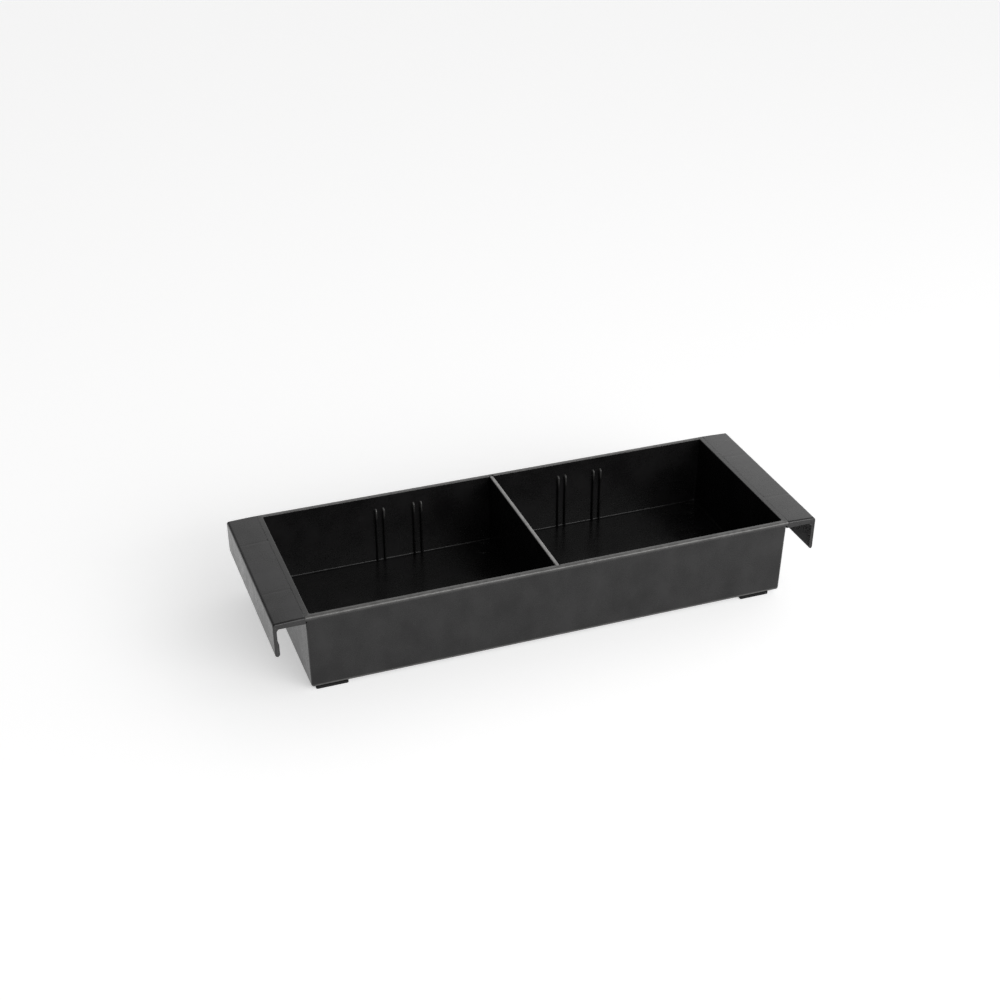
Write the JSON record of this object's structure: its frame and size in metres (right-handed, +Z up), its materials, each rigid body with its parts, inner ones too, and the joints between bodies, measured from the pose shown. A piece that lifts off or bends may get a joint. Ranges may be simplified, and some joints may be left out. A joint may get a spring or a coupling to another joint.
{
  "type": "hook-on drawer tray",
  "caption": "Shallow open plastic drawer tray in two compartments, with a flange and down-turned hook lip at each end for hanging across a drawer or rails under a desk.",
  "frame": {"origin": "on the surface that the foot pads stand on, midway between the two hook lips and midway between the front and back rims", "axes": "+X along the tray's length to the right, +Y from the front wall to the back wall, +Z up out of the open top"},
  "size_m": [0.351, 0.124, 0.053],
  "materials": {
    "tub_plastic": "black, finely textured with a satin sheen",
    "divider_plastic": "black, satin, with a brighter worn top edge",
    "rail_plastic": "black, satin, finely textured",
    "foot_rubber": "black, dull"
  },
  "bodies": {
    "tray": {"tray_tub": "tub_plastic", "hook_rail_left": "rail_plastic", "hook_rail_right": "rail_plastic", "foot_pad_front_left": "foot_rubber", "foot_pad_front_right": "foot_rubber", "foot_pad_back_left": "foot_rubber", "foot_pad_back_right": "foot_rubber"},
    "divider": {"centre_divider": "divider_plastic"}
  },
  "joints": [
    {"name": "divider_lift", "type": "slide", "parent": "tray", "child": "divider", "axis": [0, 0, 1], "range_m": [0, 0.055]}
  ]
}
